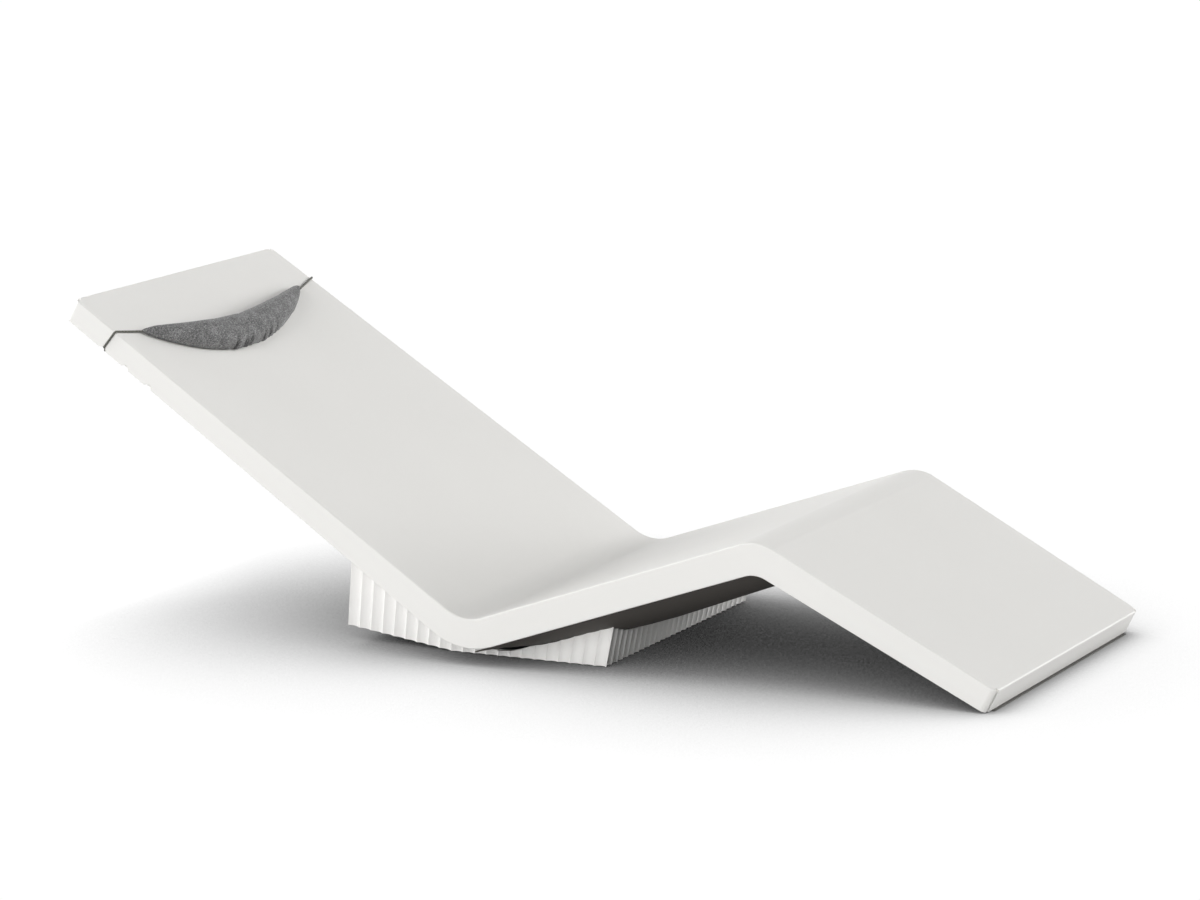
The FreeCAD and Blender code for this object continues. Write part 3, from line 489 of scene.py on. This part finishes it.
@dataclass
class Studio:
    """The camera, the pale floor, the world and the lights.

    The camera was fitted to the photograph's edges, and the strengths to its brightness.
    """

    camera_place: tuple[float, float, float] = (3.7446, -6.4660, 1.8219)
    yaw_degrees: float = -29.9898
    pitch_degrees: float = -11.2678
    roll_degrees: float = -2.1939
    focal_pixels: float = 4145.86
    frame_pixels: float = 1200.0
    sensor_mm: float = 36.0
    sight_reach: float = 180.0
    floor_reach: float = 45.0
    floor_white: float = 1.02
    # Painted light: the glow that the floor gives the lounger, in place of a bounce of the lamps.
    floor_glow_on_lounger: float = 0.45
    shade_start: float = 0.1
    shade_reach: float = 0.5
    shade_samples: int = 4
    world_white: float = 1.0
    world_strength: float = 0.0
    lights: tuple[SoftLight, ...] = (
        SoftLight("front_soft_light", (0.0, -0.966, 0.259), 2.9),
        SoftLight("head_soft_light", (-0.94, 0.0, 0.34), 3.3),
        SoftLight("foot_soft_light", (0.88, 0.45, 0.15), 1.9),
        SoftLight("far_soft_light", (0.6, 0.78, 0.17), 2.6),
    )

    def build(self) -> None:
        """Make the whole studio."""
        self.make_camera()
        self.make_floor()
        self.make_world()
        for light in self.lights:
            light.build()

    def make_camera(self) -> None:
        """Make the camera that looks as the photograph does."""
        yaw, pitch, roll = (
            math.radians(v) for v in (self.yaw_degrees, self.pitch_degrees, self.roll_degrees)
        )
        forward = Vector(
            (math.sin(yaw) * math.cos(pitch), math.cos(yaw) * math.cos(pitch), math.sin(pitch))
        )
        level = Vector((math.cos(yaw), -math.sin(yaw), 0.0))
        upward = level.cross(forward)
        right = level * math.cos(roll) + upward * math.sin(roll)
        top = upward * math.cos(roll) - level * math.sin(roll)
        turn = Matrix((right, top, -forward)).transposed()
        lens = bpy.data.cameras.new("camera")
        lens.sensor_width = self.sensor_mm
        lens.lens = self.focal_pixels / self.frame_pixels * self.sensor_mm
        lens.clip_end = self.sight_reach
        camera = bpy.data.objects.new("camera", lens)
        camera.matrix_world = Matrix.Translation(self.camera_place) @ turn.to_4x4()
        bpy.context.scene.collection.objects.link(camera)
        bpy.context.scene.camera = camera

    def make_floor(self) -> None:
        """Make the floor: a glow that is white to the eye and lights the lounger as painted light,
        dimmed as painted shade where the lounger closes it in.
        """
        mesh = bmesh.new()
        bmesh.ops.create_grid(mesh, x_segments=2, y_segments=2, size=self.floor_reach)
        floor = link_mesh(mesh, "studio_floor")
        # The floor glows rather than reflecting the lamps: it is white where seen, and dimmer
        # where it lights the lounger as painted light. The one soft grey shade under the piece is
        # painted shade, set by how closed in each spot is, not the lamps' shadow.
        material, tree = new_material("studio_floor_glow_and_painted_shade")
        level = add_node(
            tree, "ShaderNodeMapRange", Value=seen_share(tree),
            To_Min=self.floor_glow_on_lounger, To_Max=self.floor_white,
        ).outputs["Result"]
        # Painted shade: the glow dims by how closed in the floor is within the shade reach.
        open_share = add_node(
            tree, "ShaderNodeAmbientOcclusion", {"samples": self.shade_samples},
            Distance=self.shade_reach,
        ).outputs["AO"]
        shade = add_node(
            tree, "ShaderNodeMapRange", Value=open_share, From_Min=self.shade_start
        ).outputs["Result"]
        strength = add_node(
            tree, "ShaderNodeMath", {"operation": "MULTIPLY"}, in_0=level, in_1=shade
        ).outputs[0]
        shader = add_node(tree, "ShaderNodeEmission", Strength=strength)
        add_node(tree, "ShaderNodeOutputMaterial", Surface=shader.outputs[0])
        floor.data.materials.append(material)

    def make_world(self) -> None:
        """Make the air: white where it is looked at, and no light of its own."""
        world = bpy.data.worlds.new("studio_air")
        world.use_nodes = True
        tree = world.node_tree
        tree.nodes.clear()
        strength = add_node(
            tree, "ShaderNodeMapRange", Value=seen_share(tree),
            To_Min=self.world_strength, To_Max=self.world_white,
        ).outputs["Result"]
        air = add_node(tree, "ShaderNodeBackground", Color=WHITE, Strength=strength)
        add_node(tree, "ShaderNodeOutputWorld", Surface=air.outputs[0])
        bpy.context.scene.world = world


@dataclass
class Deck:
    """The bent slab: skin, sides, ends and underpans."""

    # A coated slab is a dry, even white that turns evenly round its edges without a highlight.
    shell: MouldedFinish = MouldedFinish(
        "matt_coated_polyurethane_deck", "#E7E6E3", "#E3E2DF", 0.5
    )
    # Moulded ABS is a little greyer and flatter than the coating above it.
    under: MouldedFinish = MouldedFinish("moulded_abs_underside", "#D2D0CD", "#CBC9C6", 0.6)

    def dress(self) -> None:
        """Dress the slab's nodes."""
        shell, under = self.shell.build(), self.under.build()
        for name in (
            "deck_skin", "side_panel_right", "side_panel_left",
            "head_end_panel", "foot_end_panel",
        ):
            dress(name, shell)
        for name in ("back_underpan", "seat_underpan", "calf_underpan"):
            dress(name, under)


@dataclass(frozen=True)
class BellyRun:
    """One belly shell's line on the slab's underside and its drops along it, in millimetres."""

    name: str
    start: tuple[float, float]
    end: tuple[float, float]
    stations: tuple[float, ...]
    drops: tuple[float, ...]

    @property
    def way(self) -> Vector:
        """Direction of the line, from which the mitre under the knee is taken."""
        (start_x, start_z), (end_x, end_z) = self.start, self.end
        return Vector((end_x - start_x, 0.0, end_z - start_z)).normalized()

    def frame_at(self, share: float) -> tuple[Vector, Vector]:
        """Find a place on the line.

        Args:
            share: Share of the line's length, below zero or over one beyond its ends.

        Returns:
            The point, and the direction square to the line, downwards.
        """
        start, end = (Vector((x, 0.0, z)) for x, z in (self.start, self.end))
        along = (end - start).normalized()
        return start + (end - start) * share, Vector((along.z, 0.0, -along.x))

    def drop(self, share: float) -> float:
        """Measure the shell's depth below the slab, straight between its stations.

        Args:
            share: Share of the line's length.

        Returns:
            The depth in millimetres.
        """
        last = len(self.stations) - 1
        spot = next((i for i in range(last) if share <= self.stations[i + 1]), last - 1)
        left, right = self.stations[spot], self.stations[spot + 1]
        part = min(max((share - left) / (right - left), 0.0), 1.0)
        return self.drops[spot] + (self.drops[spot + 1] - self.drops[spot]) * part


@dataclass
class Bellies:
    """The two moulded shells under the seat and the calf rest, mitred under the knee.

    They are one even sweep. The solids that they replace have a waist at the knee, which the
    real shells lack.
    """

    hip_x: float = -80.93
    hip_half_width: float = 351.0
    foot_x: float = 941.47
    foot_half_width: float = 310.5
    side_inset: float = 20.0
    lip: float = 3.6
    wall: float = 3.0
    joint_gap: float = 1.0
    rounding: int = 4
    cells_along: int = 72
    cells_across: int = 40
    runs: tuple[BellyRun, ...] = (
        BellyRun(
            "seat_belly", (-89.13, 19.12), (499.34, 212.26),
            (0.03, 0.11, 0.19, 0.31, 0.46, 0.56, 0.84, 1.15),
            (11.0, 30.0, 44.0, 48.0, 55.0, 55.0, 48.5, 42.0),
        ),
        BellyRun(
            "calf_belly", (499.34, 212.26), (919.52, 0.0),
            (-0.15, 0.0, 0.25, 0.5, 0.72, 0.88),
            (49.0, 46.0, 37.0, 25.0, 12.5, 4.0),
        ),
    )
    # Painted shade: the shells' dark grey stands for the deep shadow under the slab, not for the
    # pale moulding's own colour. The underside reads as one dull, dark band that fades at its
    # edges, without a highlight.
    finish: MouldedFinish = MouldedFinish("belly_shell_painted_shade", "#55514D", "#4F4B47", 0.65)

    def build(self) -> list[bpy.types.Object]:
        """Make both shells and let them stand for their solids."""
        # The shells' dark grey is painted shade for the shadow under the slab.
        material = self.finish.build()
        mitre = (self.runs[0].way + self.runs[1].way).normalized()
        pieces = []
        for run, side in zip(self.runs, (-1.0, 1.0)):
            piece = link_mesh(self.sheet(run, mitre * side), f"{run.name}_shell")
            shell = piece.modifiers.new("wall", "SOLIDIFY")
            shell.thickness = self.wall * MILLIMETRE
            shell.offset = -1.0
            piece.data.materials.append(material)
            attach(piece, "lounger")
            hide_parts(run.name)
            pieces.append(piece)
        return pieces

    def half_width(self, x_mm: float) -> float:
        """Return half the shell's width at X."""
        share = (x_mm - self.hip_x) / (self.foot_x - self.hip_x)
        slab = self.hip_half_width + share * (self.foot_half_width - self.hip_half_width)
        return slab - self.side_inset

    def sheet(self, run: BellyRun, keep: Vector) -> bmesh.types.BMesh:
        """Return one shell's outer face, cut at the mitre under the knee.

        Args:
            run: The shell's line and drops.
            keep: Direction from the mitre towards the side that is kept.

        Returns:
            An open sheet with its faces turned outwards.
        """
        mesh = bmesh.new()
        bmesh.ops.create_grid(
            mesh, x_segments=self.cells_along, y_segments=self.cells_across, size=1.0
        )
        first, last = run.stations[0], run.stations[-1]
        for vert in mesh.verts:
            share = first + (vert.co.x + 1) / 2 * (last - first)
            place, down = run.frame_at(share)
            across = math.sin(vert.co.y * math.pi / 2)
            fullness = 1 - abs(across) ** self.rounding
            place += down * (self.lip + max(run.drop(share) - self.lip, 0.0) * fullness)
            vert.co = Vector((place.x, self.half_width(place.x) * across, place.z)) * MILLIMETRE
        knee_x, knee_z = self.runs[1].start
        knee = Vector((knee_x, 0.0, knee_z)) * MILLIMETRE
        bmesh.ops.bisect_plane(
            mesh, geom=mesh.verts[:] + mesh.edges[:] + mesh.faces[:],
            plane_co=knee + keep * (self.joint_gap / 2 * MILLIMETRE), plane_no=keep,
            clear_inner=True,
        )
        mesh.normal_update()
        widest = max(mesh.faces, key=lambda face: face.calc_area())
        if widest.normal.z > 0:
            bmesh.ops.reverse_faces(mesh, faces=mesh.faces[:])
        return mesh


@dataclass
class Base:
    """The fluted base with its floor plate, brackets, glides and fixings."""

    # A satin moulding gives each flute one soft upright highlight and a grey groove.
    flutes: MouldedFinish = MouldedFinish(
        "satin_moulded_fluted_shell", "#ECEBE9", "#E8E7E4", 0.42
    )
    # Powder coat hides the steel: near black, with a blurred sheen.
    plate: MetalFinish = MetalFinish(
        "powder_coated_steel_plate", "#3A3B3D", "#424346", 0.0, 0.5
    )
    # Zinc plating is a cool, cloudy metal that dulls where a spanner has held it.
    zinc: MetalFinish = MetalFinish("zinc_plated_steel_fixings", "#B9BCC0", "#A3A6AA", 1.0, 0.35)
    # Polyethylene is dense black with a waxy, blurred highlight.
    glide: MouldedFinish = MouldedFinish(
        "moulded_polyethylene_glide", "#2B2B2B", "#313131", 0.45, cloud_mm=12.0
    )

    def dress(self) -> None:
        """Dress the base's nodes."""
        flutes, plate, zinc, glide = (
            finish.build() for finish in (self.flutes, self.plate, self.zinc, self.glide)
        )
        for name in ("base_panel_right", "base_panel_left", "base_panel_front", "base_panel_rear"):
            dress(name, flutes)
        for name in ("base_floor_plate", "base_bracket_right", "base_bracket_left", "base_web"):
            dress(name, plate)
        for name in ("glide_nuts", "bracket_bolts"):
            dress(name, zinc)
        dress("base_glides", glide)


@dataclass
class Underframe:
    """The hidden steel bars of the slab and the rubber strip under its foot end."""

    # Powder coat on flat bar is an even charcoal, duller than the plates of the base.
    steel: MetalFinish = MetalFinish("powder_coated_flat_bar", "#4A4C4F", "#54565A", 0.0, 0.55)
    # Rubber takes the light without a highlight. The strip's dark grey is the rubber's own colour
    # and also painted shade for the contact shadow at the floor, and reads as a thin dark line
    # there.
    rubber: MouldedFinish = MouldedFinish(
        "extruded_rubber_strip", "#4C4B49", "#555452", 0.75, cloud_mm=10.0
    )

    def dress(self) -> None:
        """Dress the frame's bars and the strip."""
        steel = self.steel.build()
        for name in ("frame_rail_right", "frame_rail_left", "frame_crossbars"):
            dress(name, steel)
        # The strip's dark grey also stands for the contact shadow under the foot end.
        dress("foot_strip", self.rubber.build())


@dataclass
class BackPlane:
    """The upper face of the back: where the pillow and its cord lie."""

    head_x: float = -0.91593
    head_z: float = 0.62443
    slope_degrees: float = 33.1

    @property
    def way(self) -> Vector:
        """Direction down the back, from head to hip."""
        angle = math.radians(self.slope_degrees)
        return Vector((math.cos(angle), 0.0, -math.sin(angle)))

    @property
    def outward(self) -> Vector:
        """Direction square to the back, away from the slab."""
        angle = math.radians(self.slope_degrees)
        return Vector((math.sin(angle), 0.0, math.cos(angle)))

    def point(self, distance_mm: float, across_mm: float, height_mm: float) -> Vector:
        """Return a point over the back.

        Args:
            distance_mm: Distance down the back from its upper edge.
            across_mm: Place across the lounger, positive to its left.
            height_mm: Height over the face, negative inside the slab.

        Returns:
            The point in metres in the lounger's frame.
        """
        head = Vector((self.head_x, 0.0, self.head_z))
        place = head + (self.way * distance_mm + self.outward * height_mm) * MILLIMETRE
        return Vector((place.x, across_mm * MILLIMETRE, place.z))

    def read(self, place: Vector) -> tuple[float, float, float]:
        """Measure where a point lies over the back.

        Args:
            place: The point in metres in the lounger's frame.

        Returns:
            Distance down the back, place across and height, in millimetres.
        """
        reach = place - Vector((self.head_x, 0.0, self.head_z))
        distance, height = reach.dot(self.way), reach.dot(self.outward)
        return distance / MILLIMETRE, place.y / MILLIMETRE, height / MILLIMETRE


@dataclass
class CrescentPillow:
    """The stuffed crescent pillow: a full lower edge with gathers, and two blunt tips.

    Near is the lounger's right side and far its left. Lengths are in millimetres. A power
    says how long an outline or a crown stays full before it falls off at a tip.
    """

    back: BackPlane
    near_reach: float = 277.0
    far_reach: float = 258.0
    tip_distance: float = 128.0
    upper_sag: float = 33.0
    upper_middle: float = -40.0
    upper_near_power: float = 2.0
    upper_far_power: float = 1.5
    lower_sag: float = 113.0
    lower_middle: float = -49.0
    near_power: float = 2.3
    far_power: float = 1.95
    crown: float = 37.0
    crown_power: float = 0.75
    tip_crown: float = 8.0
    tip_crown_power: int = 16
    tip_width: float = 16.0
    tip_width_power: int = 24
    clearance: float = 0.6
    # Height of the seam band: the crown lifts by it times the lift, and below it the fabric
    # darkens as painted shade towards the back's face.
    seam_and_shade_height: float = 7.0
    seam_lift: float = 0.2
    seam_and_shade_strength: float = 0.9
    gather_places: tuple[float, ...] = (-101.0, -76.0, -60.0, -13.0, 9.0, 38.0)
    gather_depths: tuple[float, ...] = (11.0, 8.0, 9.0, 8.0, 11.0, 7.0)
    gather_width: float = 4.0
    gather_reach: float = 26.0
    gather_rise: float = 48.0
    gather_dip: float = 0.25
    swell_share: float = 0.3
    swell_place: float = 1.8
    cells_along: int = 120
    cells_over: int = 28
    voxel_mm: float = 4.0
    most_swell: float = 6.0
    cloth_frames: int = 20
    cloth_pressure: float = 4.0
    cloth_stiffness: float = 12.0
    # Melange wool is a flecked grey from near and one even grey from afar, with a pale fuzzy rim.
    finish: MelangeFinish = MelangeFinish(
        "melange_woven_wool_blend", "#494949", "#6C6C6C", "#9A9A9A", tilt_degrees=33.1
    )

    def build(self) -> bpy.types.Object:
        """Make the pillow, stuff it and put it on the back."""
        pillow = link_mesh(self.blank(), "head_pillow")
        self.stuff(pillow)
        pillow.modifiers.new("fine", "SUBSURF").levels = 1
        self.keep_shape(pillow)
        self.settle(pillow)
        self.mark_seam_and_shade(pillow)
        pillow.data.materials.append(self.finish.build())
        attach(pillow, "pillow")
        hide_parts("pillow")
        return pillow

    def fall_off(
        self, across: float, middle: float, near_power: float, far_power: float
    ) -> float:
        """Shape an edge between its fullest place and its tips.

        Args:
            across: Place across the lounger.
            middle: Place where the edge is fullest.
            near_power: Power towards the near tip.
            far_power: Power towards the far tip.

        Returns:
            One at the fullest place and zero at the tips.
        """
        far = across > middle
        reach = self.far_reach - middle if far else self.near_reach + middle
        share = min(abs(across - middle) / reach, 1.0)
        return 1 - share ** (far_power if far else near_power)

    def lower_edge(self, across: float) -> float:
        """Return the lower edge's distance down the back."""
        return self.tip_distance + self.lower_sag * self.fall_off(
            across, self.lower_middle, self.near_power, self.far_power
        )

    def upper_edge(self, across: float) -> float:
        """Return the upper edge's distance down the back."""
        return self.tip_distance + self.upper_sag * self.fall_off(
            across, self.upper_middle, self.upper_near_power, self.upper_far_power
        )

    def blank(self) -> bmesh.types.BMesh:
        """Return the pillow before it is stuffed, as one closed mesh."""
        mesh = bmesh.new()
        bmesh.ops.create_grid(
            mesh, x_segments=self.cells_along, y_segments=self.cells_over, size=1.0
        )
        made = bmesh.ops.extrude_face_region(mesh, geom=mesh.faces[:])["geom"]
        top = {item for item in made if isinstance(item, bmesh.types.BMVert)}
        for vert in mesh.verts:
            vert.co = self.placed(vert.co.x, vert.co.y, vert in top)
        bmesh.ops.recalc_face_normals(mesh, faces=mesh.faces[:])
        return mesh

    def placed(self, along: float, over: float, is_top: bool) -> Vector:
        """Return a blank's point on the back.

        Args:
            along: Share of half the length, from -1 to 1.
            over: Share from the upper edge, -1, to the lower edge, 1.
            is_top: Whether the point is on the crowned face.

        Returns:
            The point in the lounger's frame.
        """
        along = math.sin(along * math.pi / 2)
        across = along * (self.far_reach if along > 0 else self.near_reach)
        full = math.sqrt(max(1 - along * along, 0.0))
        upper, lower = self.upper_edge(across), self.lower_edge(across)
        blunt = (1 - full) * (1 - abs(along) ** self.tip_width_power)
        width = max(lower - upper, 0.0) + self.tip_width * blunt
        crown = (
            self.tip_crown * (1 - abs(along) ** self.tip_crown_power)
            + (self.crown - self.tip_crown) * full
        )
        angle = over * math.pi / 2
        distance = (upper + lower) / 2 + math.sin(angle) * width / 2
        height = self.clearance
        if is_top:
            height += crown * math.cos(angle) ** self.crown_power
            height += self.seam_and_shade_height * full * self.seam_lift
        return self.back.point(distance, across, height)

    def stuff(self, pillow: bpy.types.Object) -> None:
        """Swell the pillow by a short cloth simulation and keep the result in its mesh.

        Args:
            pillow: The blank, which gets an even mesh here.
        """
        remesh = pillow.modifiers.new("even", "REMESH")
        remesh.mode = "VOXEL"
        remesh.voxel_size = self.voxel_mm * MILLIMETRE
        self.keep_shape(pillow)
        start = [v.co.copy() for v in pillow.data.vertices]
        cloth = pillow.modifiers.new("stuffing", "CLOTH")
        cloth.settings.use_pressure = True
        cloth.settings.uniform_pressure_force = self.cloth_pressure
        cloth.settings.effector_weights.gravity = 0.0
        cloth.settings.tension_stiffness = self.cloth_stiffness
        cloth.settings.compression_stiffness = self.cloth_stiffness
        cloth.point_cache.frame_start = 1
        cloth.point_cache.frame_end = self.cloth_frames
        for step in range(1, self.cloth_frames + 1):
            bpy.context.scene.frame_set(step)
        self.keep_shape(pillow)
        bpy.context.scene.frame_set(1)
        most = self.most_swell * MILLIMETRE
        for vert, before in zip(pillow.data.vertices, start):
            move = vert.co - before
            if move.length > most:
                vert.co = before + move * (most / move.length)

    @staticmethod
    def keep_shape(item: bpy.types.Object) -> None:
        """Put the shape that the modifiers give into the mesh and remove them."""
        evaluated = item.evaluated_get(bpy.context.evaluated_depsgraph_get())
        data = bpy.data.meshes.new_from_object(evaluated)
        item.modifiers.clear()
        old = item.data
        item.data = data
        data.name = item.name
        bpy.data.meshes.remove(old)
        shade_smooth(data)

    def settle(self, pillow: bpy.types.Object) -> None:
        """Flatten the underside on the back and draw in the gathers along the lower edge.

        Args:
            pillow: The stuffed pillow.
        """
        for vert in pillow.data.vertices:
            distance, across, height = self.back.read(vert.co)
            near_edge = max(0.0, 1 - abs(self.lower_edge(across) - distance) / self.gather_reach)
            hold = near_edge * near_edge * max(0.0, 1 - height / self.gather_rise)
            for place, depth in zip(self.gather_places, self.gather_depths):
                spread = (across - place) / self.gather_width
                pull = depth * math.exp(-spread * spread) * hold
                beside = math.exp(-((abs(spread) - self.swell_place) ** 2))
                distance += self.swell_share * depth * beside * hold - pull
                height -= self.gather_dip * pull if height > self.seam_and_shade_height else 0.0
            vert.co = self.back.point(distance, across, max(height, self.clearance))

    def mark_seam_and_shade(self, pillow: bpy.types.Object) -> None:
        """Mark the seam at the foot of the crowned face, where the fabric turns under, with
        painted contact shade that is darkest at the back's face and fades out up the band.
        """
        seam_and_shade = pillow.data.attributes.new("seam_and_shade", "FLOAT", "POINT")
        for vert in pillow.data.vertices:
            height = self.back.read(vert.co)[2]
            share = max(0.0, 1 - height / self.seam_and_shade_height)
            seam_and_shade.data[vert.index].value = share * self.seam_and_shade_strength


@dataclass
class PillowCord:
    """The elastic cord from one tip of the pillow round under the slab to the other.

    Each corner is a distance down the back, a place across and a height over the back's face,
    in millimetres.
    """

    back: BackPlane
    diameter: float = 4.0
    round_steps: int = 4
    length_steps: int = 10
    # The spline cuts its corners, so it is about this share of its control line's length.
    corner_share: float = 0.985
    tip: tuple[float, float, float] = (130.6, 256.0, 3.8)
    before_edge: tuple[float, float, float] = (110.0, 323.7, 2.3)
    edge: tuple[float, float, float] = (108.0, 331.45, 2.3)
    below_edge: tuple[float, float, float] = (106.6, 331.3, -5.6)
    over_notch: tuple[float, float, float] = (101.6, 330.75, -33.9)
    under_apex: tuple[float, float, float] = (100.4, 330.6, -40.8)
    in_pocket: tuple[float, float, float] = (100.4, 321.3, -42.3)
    pocket_foot: tuple[float, float, float] = (100.4, 321.3, -50.2)
    under_slab: tuple[float, float, float] = (100.4, 313.0, -50.2)
    # A braided cover shows fine slanting ticks: the grooves between strands are darkened as
    # painted shade, and the strands lying on top keep the paler colour.
    finish: BraidFinish = BraidFinish("braided_elastic_cord", "#6A6A64", "#4A4A45")

    def build(self) -> bpy.types.Object:
        """Make the cord as one smooth curve."""
        points = self.route()
        line = bpy.data.curves.new("pillow_elastic", "CURVE")
        line.dimensions = "3D"
        line.bevel_depth = self.diameter / 2 * MILLIMETRE
        line.bevel_resolution = self.round_steps
        line.resolution_u = self.length_steps
        line.use_fill_caps = True
        spline = line.splines.new("NURBS")
        spline.points.add(len(points) - 1)
        for place, point in zip(spline.points, points):
            place.co = (*point, 1.0)
        spline.order_u = 3
        spline.use_endpoint_u = True
        cord = bpy.data.objects.new("pillow_elastic", line)
        bpy.context.scene.collection.objects.link(cord)
        line.materials.append(self.finish.build())
        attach(cord, "pillow")
        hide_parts("pillow_cord")
        return cord

    def route(self) -> list[Vector]:
        """Return the cord's control points in metres, from the right tip to the left one."""
        corners = (
            self.tip, self.before_edge, self.edge, self.below_edge, self.over_notch,
            self.under_apex, self.in_pocket, self.pocket_foot, self.under_slab,
        )
        left = [self.back.point(*corner) for corner in corners]
        right = [Vector((p.x, -p.y, p.z)) for p in left]
        return right + left[::-1]


def main() -> None:
    """Build the studio and the lounger, and report each piece."""
    Studio().build()
    LOG.info("studio ready")
    back = BackPlane()
    cord = PillowCord(back).build()
    LOG.info("%s made", cord.name)
    for part in (Deck(), Base(), Underframe()):
        part.dress()
        LOG.info("%s dressed", type(part).__name__)
    for shell in Bellies().build():
        LOG.info("%s made", shell.name)
    pillow = CrescentPillow(back).build()
    LOG.info("%s made with %d vertices", pillow.name, len(pillow.data.vertices))
    bpy.context.scene.view_settings.view_transform = "Standard"


if __name__ == "__main__":
    logging.basicConfig(level=logging.INFO)
    main()
